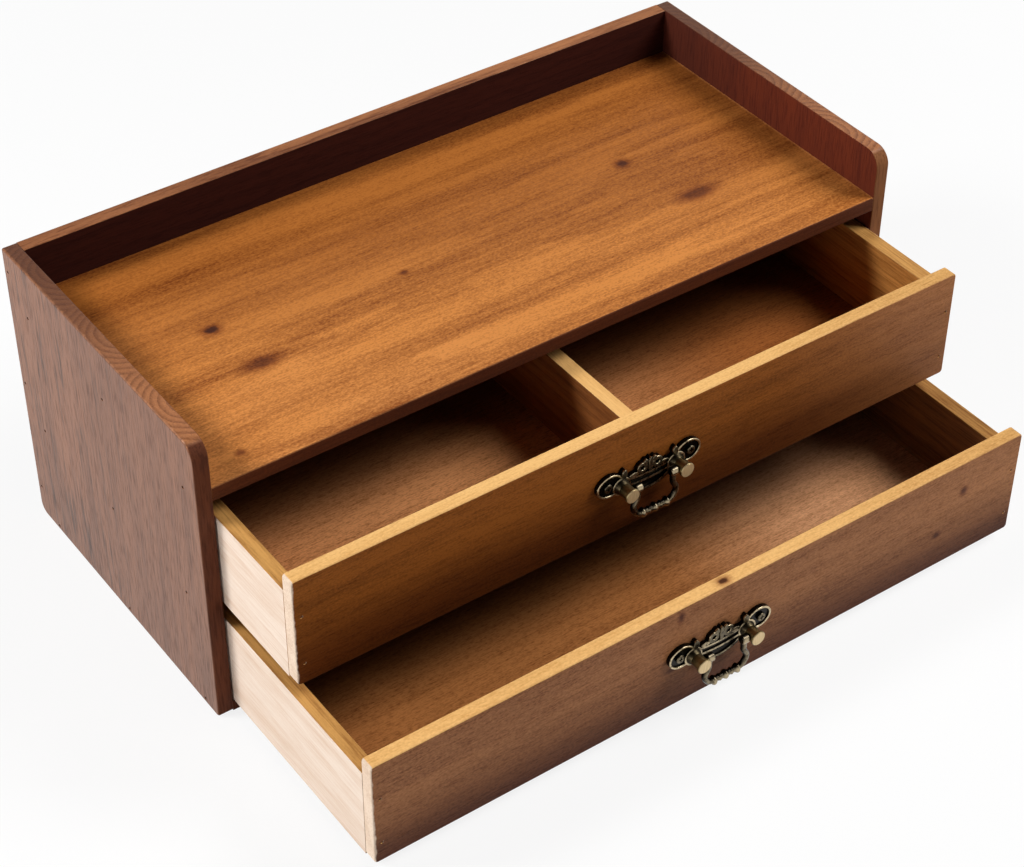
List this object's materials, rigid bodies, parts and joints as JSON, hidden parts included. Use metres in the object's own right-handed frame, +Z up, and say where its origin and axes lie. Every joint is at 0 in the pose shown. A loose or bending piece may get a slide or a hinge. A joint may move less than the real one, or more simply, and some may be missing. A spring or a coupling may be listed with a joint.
{
  "type": "desktop drawer organizer",
  "caption": "Low wooden desktop organizer with a galleried top tray over stacked sliding drawers, each with a cast brass plate and a hinged bail pull.",
  "frame": {"origin": "on the table, under the middle of the carcass", "axes": "+X to the right along the width, +Y to the back, +Z up; the drawers open towards -Y"},
  "size_m": [0.4, 0.312, 0.165],
  "materials": {
    "stained_carcass_wood": "brown stain under satin lacquer",
    "stained_front_wood": "brown stain under satin lacquer",
    "drawer_box_wood": "raw outside, stained inside",
    "drawer_plywood": "stained plywood",
    "cast_brass": "antiqued, bright on the high spots",
    "post_brass": "antiqued with bright turned caps",
    "screw_brass": "antiqued",
    "brad_steel": "dull, sunk and stained over"
  },
  "bodies": {
    "carcass": {"left_side_panel": "stained_carcass_wood", "right_side_panel": "stained_carcass_wood", "back_panel": "stained_carcass_wood", "top_board": "stained_carcass_wood", "middle_shelf": "stained_carcass_wood", "bottom_board": "stained_carcass_wood", "carcass_brads": "brad_steel"},
    "upper_drawer": {"upper_drawer_front": "stained_front_wood", "upper_drawer_left_side": "drawer_box_wood", "upper_drawer_right_side": "drawer_box_wood", "upper_drawer_back": "drawer_box_wood", "upper_drawer_bottom": "drawer_plywood", "upper_drawer_brads": "brad_steel", "upper_drawer_divider": "drawer_box_wood", "upper_drawer_pull_plate": "cast_brass", "upper_drawer_pull_left_post": "post_brass", "upper_drawer_pull_right_post": "post_brass", "upper_drawer_pull_screws": "screw_brass"},
    "lower_drawer": {"lower_drawer_front": "stained_front_wood", "lower_drawer_left_side": "drawer_box_wood", "lower_drawer_right_side": "drawer_box_wood", "lower_drawer_back": "drawer_box_wood", "lower_drawer_bottom": "drawer_plywood", "lower_drawer_brads": "brad_steel", "lower_drawer_pull_plate": "cast_brass", "lower_drawer_pull_left_post": "post_brass", "lower_drawer_pull_right_post": "post_brass", "lower_drawer_pull_screws": "screw_brass"},
    "upper_bail": {"upper_drawer_pull_bail": "cast_brass"},
    "lower_bail": {"lower_drawer_pull_bail": "cast_brass"}
  },
  "joints": [
    {"name": "upper_drawer_slide", "type": "slide", "parent": "carcass", "child": "upper_drawer", "axis": [0, -1, 0], "range_m": [-0.063, 0.087]},
    {"name": "lower_drawer_slide", "type": "slide", "parent": "carcass", "child": "lower_drawer", "axis": [0, -1, 0], "range_m": [-0.121, 0.029]},
    {"name": "upper_bail_swing", "type": "hinge", "parent": "upper_drawer", "child": "upper_bail", "pos_m": [0, -0.16, 0.09825], "axis": [-1, 0, 0], "range_deg": [-15, 195]},
    {"name": "lower_bail_swing", "type": "hinge", "parent": "lower_drawer", "child": "lower_bail", "pos_m": [0, -0.218, 0.0355], "axis": [-1, 0, 0], "range_deg": [-15, 195]}
  ]
}
